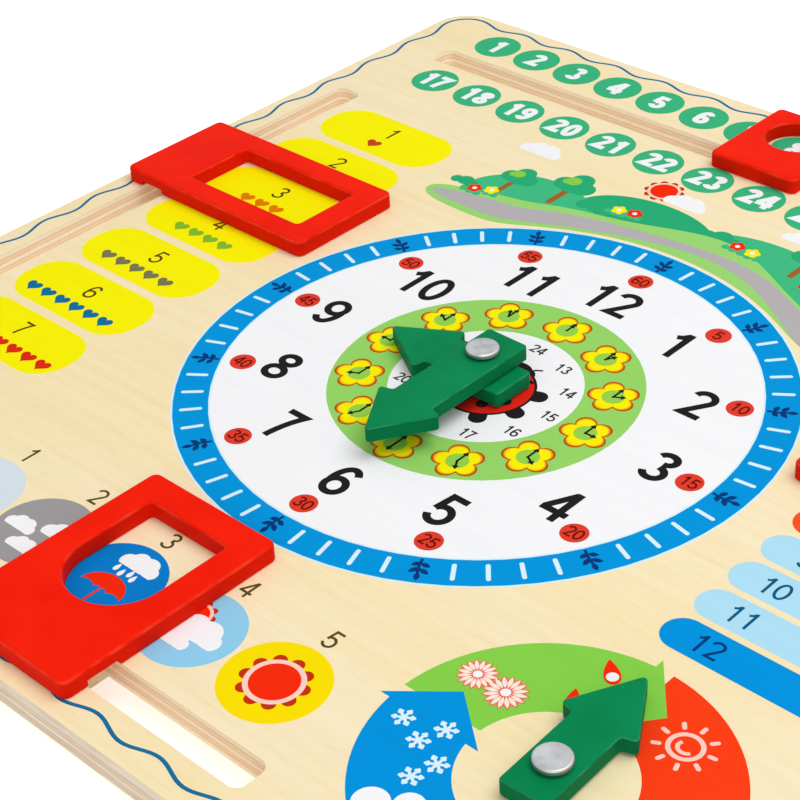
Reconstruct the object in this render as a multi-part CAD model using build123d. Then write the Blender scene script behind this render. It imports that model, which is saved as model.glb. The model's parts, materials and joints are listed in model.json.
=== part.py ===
from build123d import *
import os

# A children's calendar clock: a plywood board with sliding window frames and turning hands.
# It lies face up: X to the right, Y towards twelve o'clock, Z out of the printed face.
# The origin is under the middle of the board, on the surface that it lies on.

# Board and slots, each slot placed by its distance from the board's edges
board_size = 300.0
board_thickness = 6.5
board_corner_radius = 12.0
board_edge_round = 0.8
slot_width = 8.8
slot_corner_radius = 2.5
side_slot_margin = 13.7
day_slot_top_margin = 66.5
day_slot_bottom_margin = 69.0
month_slot_top_margin = 62.0
month_slot_bottom_margin = 86.0
weather_slot_margin = 15.0
weather_slot_left_margin = 72.0
weather_slot_right_margin = 96.6
date_slot_margin = 30.5
date_slot_end_margin = 17.5

# Clearances
running_gap = 0.3
slide_gap = 0.3
glue_gap = 0.1
hand_lift = 0.5
hand_gap = 0.3
rivet_gap = 0.7
turning_gap = 0.05
hole_gap = 0.1
washer_gap = 0.1

# Window frames, the day and month windows equally wide
frame_thickness = 4.3
frame_corner_radius = 2.0
frame_edge_round = 0.9
window_corner_radius = 1.0
side_border = 7.4
end_border = 8.0
slot_to_window = 9.0
slot_to_end = 10.2
groove_depth = 1.3
side_window_width = 42.8
day_window_height = 21.0
month_window_height = 11.2
weather_window_width = 24.4
weather_window_height = 31.0

# Date frame, which turns half round to bring its window from one row of dates to the other
date_window_offset = 14.2
date_window_radius = 8.7
date_side_border = 5.35
date_end_border = 3.5
date_slot_to_end = 8.0

# Where the frames stand along their slots
day_frame_y = 21.3
month_frame_y = 18.5
weather_frame_x = -9.6
date_frame_x = -9.3

# Guides, retainers and screws behind the board
day_block_length = 24.0
month_block_length = 18.0
weather_block_length = 20.0
retainer_thickness = 3.0
retainer_width = 22.0
retainer_overhang = 1.0
retainer_corner_radius = 3.0
date_retainer_radius = 10.0
date_washer_radius = 8.5
date_washer_thickness = 0.8
screw_head_radius = 2.4
screw_head_height = 1.3
screw_shank_radius = 1.2
screw_length = 8.5
screw_sink = 0.2
screw_end_margin = 4.5
screw_recess_length = 2.4
screw_recess_width = 0.6
screw_recess_depth = 0.7

# Hands and rivets
dial_drop = 10.0
season_side_margin = 54.2
season_bottom_margin = 50.8
hand_thickness = 4.1
hand_barb_sweep = 1.0
hand_corner_radius = 0.9
hand_edge_round = 0.5
clock_hand_width = 12.2
clock_hand_head_width = 19.3
hour_tip = 30.2
hour_head_base = 14.0
hour_tail = 9.7
minute_tip = 40.3
minute_head_base = 25.2
minute_tail = 9.2
season_hand_width = 11.3
season_hand_head_width = 18.2
season_tip = 30.2
season_head_base = 14.2
season_tail = 9.3
hour_hand_angle = 90.0
minute_hand_angle = 180.0
season_hand_angle = 2.5
rivet_radius = 2.0
rivet_head_radius = 4.0
rivet_head_height = 1.1
rivet_head_round = 0.5
rivet_tail_radius = 3.2
rivet_tail_height = 1.2
rivet_tail_round = 0.4
rivet_washer_radius = 6.0
rivet_washer_thickness = 0.8

# Levels, from the surface upwards
board_back_z = retainer_thickness + running_gap
board_top_z = board_back_z + board_thickness
frame_z = board_top_z + running_gap
groove_top_z = frame_z + groove_depth
hour_hand_z = board_top_z + hand_lift
minute_hand_z = hour_hand_z + hand_thickness + hand_gap
clock_rivet_head_z = minute_hand_z + hand_thickness + rivet_gap
season_rivet_head_z = hour_hand_z + hand_thickness + rivet_gap
date_washer_z = board_back_z - washer_gap - date_washer_thickness
date_retainer_thickness = date_washer_z - washer_gap

# Places on the board
half_board = board_size / 2
side_slot_x = half_board - side_slot_margin
weather_slot_y = weather_slot_margin - half_board
date_slot_y = half_board - date_slot_margin
dial_centre = (0, -dial_drop)
season_centre = (half_board - season_side_margin, season_bottom_margin - half_board)

# Sizes that follow from the fits
block_width = slot_width - 2 * slide_gap
block_corner_radius = slot_corner_radius - slide_gap
groove_width = block_width + 2 * glue_gap
peg_radius = block_width / 2


def plate(length_x, length_y, corner_radius, thickness):
    """A flat plate with rounded corners, standing on its own origin."""
    return extrude(RectangleRounded(length_x, length_y, corner_radius), thickness)


def disc(radius, thickness):
    """A round plate standing on its own origin."""
    return extrude(Circle(radius), thickness)


def round_top(solid, radius):
    """Ease every edge of the top face, outside and round a window."""
    return fillet(solid.edges().group_by(Axis.Z)[-1], radius)


def side_slot(x, top_margin, bottom_margin):
    """A slot that runs up and down, cut right through the board."""
    length = board_size - top_margin - bottom_margin
    middle = (bottom_margin - top_margin) / 2
    return Pos(x, middle) * plate(slot_width, length, slot_corner_radius, board_thickness)


def cross_slot(y, left_margin, right_margin):
    """A slot that runs from left to right, cut right through the board."""
    length = board_size - left_margin - right_margin
    middle = (left_margin - right_margin) / 2
    return Pos(middle, y) * plate(length, slot_width, slot_corner_radius, board_thickness)


def make_board():
    """The board with eased edges, four slots and two rivet holes."""
    solid = plate(board_size, board_size, board_corner_radius, board_thickness)
    flat_edges = solid.edges().group_by(Axis.Z)
    solid = fillet(flat_edges[0] + flat_edges[-1], board_edge_round)
    solid -= side_slot(-side_slot_x, day_slot_top_margin, day_slot_bottom_margin)
    solid -= side_slot(side_slot_x, month_slot_top_margin, month_slot_bottom_margin)
    solid -= cross_slot(weather_slot_y, weather_slot_left_margin, weather_slot_right_margin)
    solid -= cross_slot(date_slot_y, date_slot_end_margin, date_slot_end_margin)
    for centre in (dial_centre, season_centre):
        solid -= Pos(*centre) * disc(rivet_radius + hole_gap, board_thickness)
    return Pos(Z=board_back_z) * solid


def oblong_window(width, length):
    """A window with rounded corners, its near edge at slot_to_window from the slot's middle."""
    return Pos(0, slot_to_window + length / 2) * RectangleRounded(width, length, window_corner_radius)


def arched_window(width, length):
    """A window that is square at the far end and half round towards the slot."""
    radius = width / 2
    straight = length - radius
    far_end = slot_to_window + length
    half_round = Pos(0, slot_to_window + radius) * Circle(radius)
    square = Pos(0, far_end - straight / 2) * Rectangle(width, straight)
    far_corners = square.vertices().group_by(Axis.Y)[-1]
    return half_round + fillet(far_corners, window_corner_radius)


def window_frame(width, length, window):
    """A frame round a window, with the slot's middle on its X axis and a groove there underneath."""
    frame_width = width + 2 * side_border
    frame_length = slot_to_end + slot_to_window + length + end_border
    middle = frame_length / 2 - slot_to_end
    outline = Pos(0, middle) * RectangleRounded(frame_width, frame_length, frame_corner_radius)
    solid = round_top(extrude(outline - window, frame_thickness), frame_edge_round)
    solid -= extrude(Rectangle(frame_width, groove_width), groove_depth)
    return Pos(Z=frame_z) * solid


def screw_body(gap):
    """A countersunk wood screw, head down, grown by a gap all round for its hole."""
    head = Pos(Z=screw_head_height / 2) * Cone(
        screw_head_radius + gap, screw_shank_radius + gap, screw_head_height
    )
    return Pos(Z=screw_sink) * (head + disc(screw_shank_radius + gap, screw_length + gap))


def make_screw():
    """One screw with a cross recess in its head."""
    arm = extrude(Rectangle(screw_recess_length, screw_recess_width), screw_recess_depth)
    return screw_body(0) - Pos(Z=screw_sink) * (arm + Rot(Z=90) * arm)


def screw_hole():
    """The countersunk hole for a screw, open at the surface below."""
    return screw_body(hole_gap / 2) + disc(screw_head_radius + hole_gap / 2, screw_sink)


def make_guide(length):
    """Guide block, retainer plate and two screws for a frame that slides, on the slot's middle."""
    screw_places = [Pos(side * (length / 2 - screw_end_margin)) for side in (-1, 1)]
    block = Pos(Z=retainer_thickness) * plate(
        length, block_width, block_corner_radius, groove_top_z - retainer_thickness
    )
    retainer = plate(
        length + 2 * retainer_overhang, retainer_width, retainer_corner_radius, retainer_thickness
    )
    for place in screw_places:
        block -= place * screw_hole()
        retainer -= place * screw_hole()
    screws = Compound([place * make_screw() for place in screw_places])
    return block, retainer, screws


def make_date_frame():
    """The date frame with its round window, turning about the peg at its own origin."""
    width = 2 * (date_window_radius + date_side_border)
    far_end = date_window_offset + date_window_radius + date_end_border
    length = far_end + date_slot_to_end
    outline = Pos(0, far_end - length / 2) * RectangleRounded(width, length, frame_corner_radius)
    window = Pos(0, date_window_offset) * Circle(date_window_radius)
    solid = round_top(extrude(outline - window, frame_thickness), frame_edge_round)
    solid -= disc(peg_radius + glue_gap, groove_depth)
    return Pos(Z=frame_z) * solid


def make_date_guide():
    """Round peg, retainer disc, loose washer and screw under the date frame."""
    peg = Pos(Z=date_retainer_thickness) * disc(peg_radius, groove_top_z - date_retainer_thickness)
    retainer = disc(date_retainer_radius, date_retainer_thickness)
    washer = Pos(Z=date_washer_z) * (
        disc(date_washer_radius, date_washer_thickness)
        - disc(peg_radius + hole_gap, date_washer_thickness)
    )
    return peg - screw_hole(), retainer - screw_hole(), washer, make_screw()


def make_hand(width, head_width, tip, head_base, tail):
    """A thick arrow on its pivot, pointing to Y, with barbs swept a little forwards."""
    shaft = width / 2
    barb = head_width / 2
    neck = head_base - hand_barb_sweep
    right_side = [(shaft, -tail), (shaft, neck), (barb, head_base), (0, tip)]
    left_side = [(-barb, head_base), (-shaft, neck), (-shaft, -tail)]
    outline = make_face(Polyline(*right_side, *left_side, close=True))
    outline = fillet(outline.vertices(), hand_corner_radius)
    solid = extrude(outline, hand_thickness)
    flat_edges = solid.edges().group_by(Axis.Z)
    solid = fillet(flat_edges[0] + flat_edges[-1], hand_edge_round)
    return solid - disc(rivet_radius + turning_gap, hand_thickness)


def make_rivet(head_z):
    """A rivet from its clenched end behind the board to its flat head at head_z."""
    tail_z = board_back_z - rivet_washer_thickness - rivet_tail_height
    head = round_top(disc(rivet_head_radius, rivet_head_height), rivet_head_round)
    tail = disc(rivet_tail_radius, rivet_tail_height)
    tail = fillet(tail.edges().group_by(Axis.Z)[0], rivet_tail_round)
    shank = disc(rivet_radius, head_z - tail_z)
    return Pos(Z=head_z) * head + Pos(Z=tail_z) * (shank + tail)


def make_rivet_washer():
    """The washer between the board's back and the rivet's clenched end."""
    ring = disc(rivet_washer_radius, rivet_washer_thickness)
    ring -= disc(rivet_radius + hole_gap, rivet_washer_thickness)
    return Pos(Z=board_back_z - rivet_washer_thickness) * ring


day_place = Pos(-side_slot_x, day_frame_y) * Rot(Z=-90)
month_place = Pos(side_slot_x, month_frame_y) * Rot(Z=90)
weather_place = Pos(weather_frame_x, weather_slot_y)
date_place = Pos(date_frame_x, date_slot_y)
dial_place = Pos(*dial_centre)
season_place = Pos(*season_centre)

day_window = oblong_window(day_window_height, side_window_width)
month_window = oblong_window(month_window_height, side_window_width)
weather_window = arched_window(weather_window_width, weather_window_height)
clock_hand_widths = (clock_hand_width, clock_hand_head_width)
season_hand_widths = (season_hand_width, season_hand_head_width)
hour_arrow = make_hand(*clock_hand_widths, hour_tip, hour_head_base, hour_tail)
minute_arrow = make_hand(*clock_hand_widths, minute_tip, minute_head_base, minute_tail)
season_arrow = make_hand(*season_hand_widths, season_tip, season_head_base, season_tail)

nodes = {
    "board": make_board(),
    "day_frame": day_place * window_frame(day_window_height, side_window_width, day_window),
    "month_frame": month_place * window_frame(month_window_height, side_window_width, month_window),
    "weather_frame": weather_place
    * window_frame(weather_window_width, weather_window_height, weather_window),
    "date_frame": date_place * make_date_frame(),
    "hour_hand": dial_place * Pos(Z=hour_hand_z) * Rot(Z=hour_hand_angle) * hour_arrow,
    "minute_hand": dial_place * Pos(Z=minute_hand_z) * Rot(Z=minute_hand_angle) * minute_arrow,
    "season_hand": season_place * Pos(Z=hour_hand_z) * Rot(Z=season_hand_angle) * season_arrow,
    "clock_rivet": dial_place * make_rivet(clock_rivet_head_z),
    "season_rivet": season_place * make_rivet(season_rivet_head_z),
    "clock_rivet_washer": dial_place * make_rivet_washer(),
    "season_rivet_washer": season_place * make_rivet_washer(),
}

guides = (
    ("day", day_place, day_block_length),
    ("month", month_place, month_block_length),
    ("weather", weather_place, weather_block_length),
)
for name, place, length in guides:
    block, retainer, screws = make_guide(length)
    nodes[name + "_guide_block"] = place * block
    nodes[name + "_retainer"] = place * retainer
    nodes[name + "_screws"] = place * screws

date_pieces = ("date_peg", "date_retainer", "date_washer", "date_screw")
for name, solid in zip(date_pieces, make_date_guide()):
    nodes[name] = date_place * solid

os.makedirs("parts", exist_ok=True)
for name, solid in nodes.items():
    export_step(solid, os.path.join("parts", name + ".step"))
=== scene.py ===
import json
import math

import bpy
import numpy as np
from mathutils import Matrix, Vector


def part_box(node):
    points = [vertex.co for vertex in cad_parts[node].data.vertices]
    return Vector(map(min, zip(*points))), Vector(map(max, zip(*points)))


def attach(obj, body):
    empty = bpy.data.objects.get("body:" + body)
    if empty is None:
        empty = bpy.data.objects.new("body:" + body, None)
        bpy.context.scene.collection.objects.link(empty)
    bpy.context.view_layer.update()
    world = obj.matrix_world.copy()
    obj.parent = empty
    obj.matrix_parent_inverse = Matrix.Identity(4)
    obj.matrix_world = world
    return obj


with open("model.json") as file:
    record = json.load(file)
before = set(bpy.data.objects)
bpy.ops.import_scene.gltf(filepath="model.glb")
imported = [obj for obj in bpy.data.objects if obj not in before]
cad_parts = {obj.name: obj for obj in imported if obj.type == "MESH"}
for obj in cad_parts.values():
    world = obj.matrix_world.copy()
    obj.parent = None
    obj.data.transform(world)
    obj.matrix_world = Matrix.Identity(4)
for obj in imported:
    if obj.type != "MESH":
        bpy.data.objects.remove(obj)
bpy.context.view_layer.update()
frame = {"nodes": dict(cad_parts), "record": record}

# Sizes are in millimetres on the board's face, X to the right and Y towards twelve o'clock.
MM = 0.001
board_low, board_high = (np.array(corner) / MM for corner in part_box("board"))
BOARD_TOP = board_high[2]
BOARD_MIDDLE_Z = (board_low[2] + board_high[2]) / 2
BOARD_HALF_THICKNESS = (board_high[2] - board_low[2]) / 2
BOARD_HALF = board_high[0]


def middle_of(node):
    """The middle of a solid on the board's face."""
    low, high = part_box(node)
    return np.array((low + high) / 2)[:2] / MM


DIAL = middle_of("clock_rivet")
SEASON = middle_of("season_rivet")

# Ink film: each layer of print stands this much above the one under it
FILM = 0.015
FILM_STEP = 0.0004
FILM_STEPS = 12

INK = {
    "white": "#F9F9FB", "ice": "#DDF5FF", "black": "#231F20", "grey_text": "#3A383A",
    "blue": "#0597DF", "navy": "#0B3A78", "dot": "#E5402E", "dot_text": "#6E140E",
    "leaf": "#98D768", "petal": "#FFF20A", "petal_shade": "#FBB414", "petal_edge": "#BC5414",
    "centre": "#98D450", "ladybird": "#E5261A", "pill": "#FEF606", "date": "#3CB780",
    "brown_text": "#5E4C1A", "red_orange": "#FF5324", "sky": "#B0E1F6", "teal_text": "#0A5C80",
    "winter": "#0494E0", "spring": "#87D24B", "summer": "#FF4016", "autumn": "#FFC41E",
    "fog": "#DAE5EC", "cloud_grey": "#A09D9F", "rain": "#0A80D0", "fair": "#92D0F0",
    "sunny": "#FEE205", "sun": "#FA2C0C", "sun_rim": "#C8340E", "sun_ring": "#FFD4C6",
    "chalk": "#FFD0C4", "border": "#17709F", "hill": "#41BE84", "meadow": "#9CD975",
    "path": "#B7B2B4", "bush": "#2AAE76", "trunk": "#A0642D", "salmon": "#EE6A50",
    "cream": "#FFEBDD", "rust": "#D8501C", "snow_shade": "#CFEBFA",
    "heart_1": "#C8461E", "heart_2": "#D8641C", "heart_3": "#E6820A", "heart_4": "#84BE2E",
    "heart_5": "#7C7A52", "heart_6": "#14709E", "heart_7": "#E12D14",
}


def linear(code):
    """A colour written as sRGB hex, as linear red, green, blue and alpha."""
    values = np.array([int(code[i:i + 2], 16) for i in (1, 3, 5)]) / 255
    low, high = values / 12.92, ((values + 0.055) / 1.055) ** 2.4
    return (*np.where(values <= 0.04045, low, high).tolist(), 1.0)


# Outlines, each a closed run of points, and the number of points on each kind
DISC_POINTS, OBLONG_POINTS, LOBE_POINTS = 72, 64, 144
HEART_POINTS, LEAF_POINTS, DROP_POINTS = 40, 14, 28
HEART_REACH, HEART_COSINES = 16, (13, -5, -2, -1)
DROP_BREADTH = 0.62


def disc(radius):
    """Circle: radius times cosine and sine of an even run of angles."""
    angle = np.linspace(0, 2 * np.pi, DISC_POINTS, endpoint=False)
    return radius * np.stack([np.cos(angle), np.sin(angle)], axis=1)


def oblong(width, height, radius):
    """Rectangle with round corners: a circle whose quarters are pushed apart to the corners."""
    angle = np.linspace(0, 2 * np.pi, OBLONG_POINTS, endpoint=False) + np.pi / OBLONG_POINTS
    ring = np.stack([np.cos(angle), np.sin(angle)], axis=1)
    return np.sign(ring) * (np.array([width, height]) / 2 - radius) + radius * ring


def lobes(*circles):
    """Joined circles (x, y, radius): along each ray from the origin, the farthest point on any."""
    angle = np.linspace(0, 2 * np.pi, LOBE_POINTS, endpoint=False)
    ray = np.stack([np.cos(angle), np.sin(angle)], axis=1)
    circles = np.array(circles, float)
    along = ray @ circles[:, :2].T
    room = circles[:, 2] ** 2 - (circles[:, :2] ** 2).sum(axis=1) + along ** 2
    far = np.where(room > 0, along + np.sqrt(np.maximum(room, 0)), 0).max(axis=1)
    return ray * far[:, None]


def rosette(count, distance, radius, turn=90):
    """Petals or scallops: equal circles set evenly round the edge of a disc, joined to it."""
    angle = np.radians(turn + 360 * np.arange(count) / count)
    centres = distance * np.stack([np.cos(angle), np.sin(angle)], axis=1)
    return lobes((0, 0, distance), *np.c_[centres, np.full(count, radius)])


def heart(width):
    """Heart: sine cubed across, and a sum of four cosines up, scaled to its width."""
    angle = np.linspace(0, 2 * np.pi, HEART_POINTS, endpoint=False)
    across = HEART_REACH * np.sin(angle) ** 3
    up = np.cos(np.outer(angle, [1, 2, 3, 4])) @ HEART_COSINES
    return np.stack([across, up], axis=1)[::-1] * width / (2 * HEART_REACH)


def leaf(length, width):
    """Pointed leaf from the origin up: half a sine wave to either side of its length."""
    share = np.linspace(0, 1, LEAF_POINTS)
    side = np.stack([width / 2 * np.sin(np.pi * share), length * share], axis=1)
    return np.vstack([side, (side * [-1, 1])[-2:0:-1]])


def drop(height):
    """Falling drop: a circle whose upper half is drawn out to a point."""
    angle = np.linspace(0, 2 * np.pi, DROP_POINTS, endpoint=False)
    across = np.cos(angle) * np.sqrt((1 - np.sin(angle)) / 2)
    return np.stack([DROP_BREADTH * across, np.sin(angle)], axis=1) * height / 2


def arc(centre, radii, start, stop, count=22):
    """Run of points on an ellipse between two angles in degrees."""
    angle = np.radians(np.linspace(start, stop, count))
    return np.array(centre) + np.stack([np.cos(angle), np.sin(angle)], axis=1) * radii


def stroke(points, width):
    """Band along a line: each point moved half the width to either side, with mitred corners."""
    points = np.array(points, float)
    steps = np.diff(points, axis=0)
    steps = steps / np.linalg.norm(steps, axis=1)[:, None]
    sides = np.stack([-steps[:, 1], steps[:, 0]], axis=1)
    before = np.vstack([sides[:1], sides])
    after = np.vstack([sides, sides[-1:]])
    mitre = (before + after) / (1 + (before * after).sum(axis=1))[:, None]
    offset = mitre * width / 2
    return np.vstack([points - offset, (points + offset)[::-1]])


def placed(outline, centre=(0, 0), turn=0):
    """An outline turned by degrees about the origin and then moved to a centre."""
    cosine, sine = math.cos(math.radians(turn)), math.sin(math.radians(turn))
    return np.array(outline) @ np.array([[cosine, sine], [-sine, cosine]]) + np.array(centre)


def clock_place(centre, radius, degrees):
    """A point at a radius, turned clockwise from twelve o'clock."""
    angle = math.radians(degrees)
    return np.array(centre) + radius * np.array([math.sin(angle), math.cos(angle)])


# Numerals: a plain pen of one width, on a cell one unit high
CELL = 0.6
CELL_STEP = 0.655


def loop(centre, radii):
    """A closed ellipse as two halves whose ends overlap."""
    return [arc(centre, radii, -10, 190), arc(centre, radii, 170, 370)]


def numeral_lines(pen):
    """Centre lines of the digits for a pen of that width, so that every digit is one unit high."""
    half, middle = pen / 2, CELL / 2
    reach, top, right = middle - half, 1 - half, CELL - half
    bowl = (middle, 0.315), (reach, 0.315 - half)
    upper = (middle, 0.755), (reach - 0.025, 0.245 - half)
    lower = (middle, 0.275), (reach, 0.275 - half)
    oval = (middle, 0.5), (reach, 0.5 - half)
    shoulder = (middle, 0.72), (reach, 0.28 - half)
    bow = np.linspace(0, 1, 12)[:, None]
    stem_top, stem_bend, stem_foot = np.array([(0.475, top), (0.27, 0.55), (0.21, 0)])
    stem = (1 - bow) ** 2 * stem_top + 2 * bow * (1 - bow) * stem_bend + bow ** 2 * stem_foot
    six = [*loop(*bowl), arc((middle + 0.02, 0.5), (reach + 0.02, 0.5 - half), 190, 42)]
    return {
        "0": loop(*oval),
        "1": [[(0.37, 0), (0.37, 1)], [(0.13, 0.74), (0.245, 0.8), (0.36, 0.955)]],
        "2": [np.vstack([arc(*shoulder, 172, -32), [(0.155, half), (right + half, half)]])],
        "3": [arc(*upper, 165, -90), arc(*lower, 90, -165)],
        "4": [[(0.43, 0), (0.43, 1)], [(0, 0.29), (CELL + 0.02, 0.29)], [(0.40, 0.95), (0.065, 0.31)]],
        "5": [[(right, top), (0.155, top), (0.095, 0.44)],
              arc((middle - 0.01, 0.33), (reach + 0.01, 0.33 - half), 150, -160)],
        "6": six,
        "7": [np.vstack([[(0.02, top)], stem])],
        "8": loop(*upper) + loop(*lower),
        "9": [np.array([CELL, 1]) - line for line in six],
    }


def number(text, height, pen, centre):
    """Outlines of a number's pen strokes, upright and centred on a point."""
    digits = numeral_lines(pen)
    start = np.array(centre) - height * np.array([(CELL_STEP * (len(text) - 1) + CELL) / 2, 0.5])
    outlines = []
    for place, digit in enumerate(text):
        corner = start + [height * CELL_STEP * place, 0]
        lines = [np.array(line) * height + corner for line in digits[digit]]
        outlines += [stroke(line, pen * height) for line in lines]
    return outlines


# Printing

class Print:
    """Ink shapes on the board's face, which become one mesh of thin closed films."""

    def __init__(self, name):
        self.name = name
        self.shapes = []

    def add(self, colour, layer, *outlines):
        """Lay outlines in one colour. A higher layer covers a lower one."""
        self.shapes += [(np.asarray(outline), INK[colour], layer) for outline in outlines]

    def number(self, colour, layer, text, height, pen, centre):
        """Lay a number in one colour."""
        self.add(colour, layer, *number(str(text), height, pen, centre))

    def make(self, ink):
        """Each outline is a film from the board's face up to its layer: lid, floor and wall."""
        points, faces, colours = [], [], []
        first = 0
        for index, (outline, colour, layer) in enumerate(self.shapes):
            x, y = outline.T
            if np.sum(x * np.roll(y, -1) - y * np.roll(x, -1)) < 0:
                outline = outline[::-1]
            count = len(outline)
            top = BOARD_TOP + FILM * (layer + 1) + FILM_STEP * (index % FILM_STEPS)
            points += [np.c_[outline, np.full(count, top)], np.c_[outline, np.full(count, BOARD_TOP)]]
            lid = first + np.arange(count)
            after = np.roll(lid, -1)
            faces += [lid.tolist(), (lid + count)[::-1].tolist()]
            faces += np.stack([after, lid, lid + count, after + count], axis=1).tolist()
            colours.append(np.tile(linear(colour), (6 * count, 1)))
            first += 2 * count
        mesh = bpy.data.meshes.new(self.name)
        mesh.from_pydata(np.vstack(points) * MM, [], faces)
        attribute = mesh.color_attributes.new("ink", "FLOAT_COLOR", "CORNER")
        attribute.data.foreach_set("color", np.vstack(colours).astype(np.float32).ravel())
        mesh.materials.append(ink)
        piece = bpy.data.objects.new(self.name, mesh)
        bpy.context.scene.collection.objects.link(piece)
        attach(piece, "board")
        return piece


# The clock's dial
RING_OUTER, RING_INNER, RING_EDGE = 74.4, 65.4, 0.5
TICK_LENGTH, TICK_WIDTH, TICK_RADIUS = 5.5, 1.05, 70.0
DOT_RADIUS, DOT_PLACE, DOT_SHIFT = 3.25, 60.2, (0.3, 0)
DOT_TEXT_HEIGHT, DOT_TEXT_PEN = 3.6, 0.14
HOUR_HEIGHT, HOUR_PEN = 11.6, 0.160
HOUR_PLACES = ((25, 42.5), (44, 25.5), (52, 0.5), (44, -24.5), (26, -42), (0.7, -49),
               (-24.5, -42), (-43, -25.3), (-51, 0), (-41.5, 24.5), (-22.2, 43), (0, 48.7))
GREEN_OUTER, GREEN_INNER, GREEN_SHIFT = 38.0, 23.5, (0.4, 0.25)
PRINT_SHIFT = (0.25, 0.15)
FLOWER_PLACE, FLOWER_SHIFT = 30.8, (0.4, -0.2)
AFTERNOON_PLACE, AFTERNOON_SHIFT = 19.9, (0.5, -0.3)
AFTERNOON_HEIGHT, AFTERNOON_PEN = 3.3, 0.15


def print_dial():
    """Blue minute ring, white face, hour numerals, minute dots and the green ring of flowers."""
    dial = Print("dial_print")
    rings = [
        ("ice", RING_OUTER + RING_EDGE, PRINT_SHIFT), ("blue", RING_OUTER, PRINT_SHIFT),
        ("ice", RING_INNER + RING_EDGE, PRINT_SHIFT), ("white", RING_INNER, PRINT_SHIFT),
        ("leaf", GREEN_OUTER, GREEN_SHIFT), ("white", GREEN_INNER, GREEN_SHIFT),
    ]
    for layer, (colour, radius, shift) in enumerate(rings):
        dial.add(colour, layer, placed(disc(radius), DIAL + shift))
    tick = oblong(TICK_WIDTH, TICK_LENGTH, TICK_WIDTH / 2)
    for minute in range(60):
        degrees = 6 * minute
        place = clock_place(DIAL + PRINT_SHIFT, TICK_RADIUS, degrees)
        if minute % 5:
            dial.add("ice", 2, placed(tick, place, -degrees))
        else:
            print_sprig(dial, place, -degrees)
    for hour, numeral in enumerate(HOUR_PLACES, start=1):
        degrees = 30 * hour
        dot = clock_place(DIAL + DOT_SHIFT, DOT_PLACE, degrees)
        dial.add("dot", 5, placed(disc(DOT_RADIUS), dot))
        dial.number("dot_text", 6, 5 * hour, DOT_TEXT_HEIGHT, DOT_TEXT_PEN, dot)
        dial.number("black", 5, hour, HOUR_HEIGHT, HOUR_PEN, DIAL + numeral)
        flower = clock_place(DIAL + FLOWER_SHIFT, FLOWER_PLACE, degrees)
        print_flower_clock(dial, flower, degrees)
        afternoon = clock_place(DIAL + AFTERNOON_SHIFT, AFTERNOON_PLACE, degrees)
        dial.number("grey_text", 7, 12 + hour, AFTERNOON_HEIGHT, AFTERNOON_PEN, afternoon)
    print_ladybird(dial)
    return dial


SPRIG_STEM, SPRIG_STEM_WIDTH, SPRIG_LEAF_WIDTH = ((0, -3.6), (0.25, -1), (0, 2)), 0.7, 1.35
# Each leaf's foot on the stem, its lean in degrees and its length
SPRIG_LEAVES = ((0.9, 0, 2.8), (-0.4, 52, 2.9), (-0.7, -50, 2.9), (-2.1, 64, 2.5), (-2.3, -62, 2.3))


def print_sprig(dial, place, turn):
    """A small leafy twig, stem inwards, that marks each fifth minute on the blue ring."""
    dial.add("navy", 2, placed(stroke(SPRIG_STEM, SPRIG_STEM_WIDTH), place, turn))
    for height, lean, length in SPRIG_LEAVES:
        blade = placed(leaf(length, SPRIG_LEAF_WIDTH), (0, height), lean)
        dial.add("navy", 2, placed(blade, place, turn))


FLOWER_RADIUS, PETALS, PETAL_SHARE = 6.4, 5, 0.4
PETAL_SHADE_SCALE, PETAL_SCALE, FLOWER_CENTRE = 0.90, 0.83, 2.75
FLOWER_MINUTE_HAND, FLOWER_HOUR_HAND = 4.1, 3.2
FLOWER_HAND_WIDTH, FLOWER_HAND_TAIL, FLOWER_SHAFT_INSET = 0.58, 0.1, 1
FLOWER_HEAD_WIDTH, FLOWER_HEAD_LENGTH = 1.7, 1.4


def print_flower_clock(dial, place, hour_degrees):
    """A flower whose two thin hands show the hour that it stands at."""
    outer = rosette(PETALS, (1 - PETAL_SHARE) * FLOWER_RADIUS, PETAL_SHARE * FLOWER_RADIUS, turn=270)
    dial.add("petal_edge", 5, placed(outer, place))
    dial.add("petal_shade", 6, placed(outer * PETAL_SHADE_SCALE, place))
    dial.add("petal", 7, placed(outer * PETAL_SCALE, place))
    dial.add("centre", 8, placed(disc(FLOWER_CENTRE), place))
    for degrees, length in ((0, FLOWER_MINUTE_HAND), (hour_degrees, FLOWER_HOUR_HAND)):
        ends = [(0, -FLOWER_HAND_TAIL * length), (0, length - FLOWER_SHAFT_INSET)]
        shaft = stroke(ends, FLOWER_HAND_WIDTH)
        barb, barb_y = FLOWER_HEAD_WIDTH / 2, length - FLOWER_HEAD_LENGTH
        head = [(-barb, barb_y), (barb, barb_y), (0, length)]
        dial.add("black", 9, *[placed(shape, place, -degrees) for shape in (shaft, head)])


LADYBIRD_SHIFT, LADYBIRD_RADIUS, LADYBIRD_TURN, LADYBIRD_RIM = (1.6, -0.2), 11.0, -4, 1.06
LEG_SIZE, LEG_REACH, LEG_DEGREES = (4.4, 5.2), 1.4, (66, 105, 146, 228, 266, 302)
FEELER, FEELER_WIDTH = ((2, 10), (3.4, 12.8), (4.8, 13.8)), 0.6
HEAD_CIRCLES, HEAD_Y = ((0, 0, 4.6), (-2.2, 0.6, 3.2), (2.2, 0.6, 3.2)), 8.6
SEAM_TOP, SEAM_WIDTH = 6, 0.7
COLLAR_PLACE, COLLAR_RADII, COLLAR_DEGREES = (0, 11.5), (8.2, 6.2), (205, 335)
SPOTS, SPOT_RADIUS = ((4.2, 3.4), (7.4, -1.6), (4, -6)), 1.5


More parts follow.
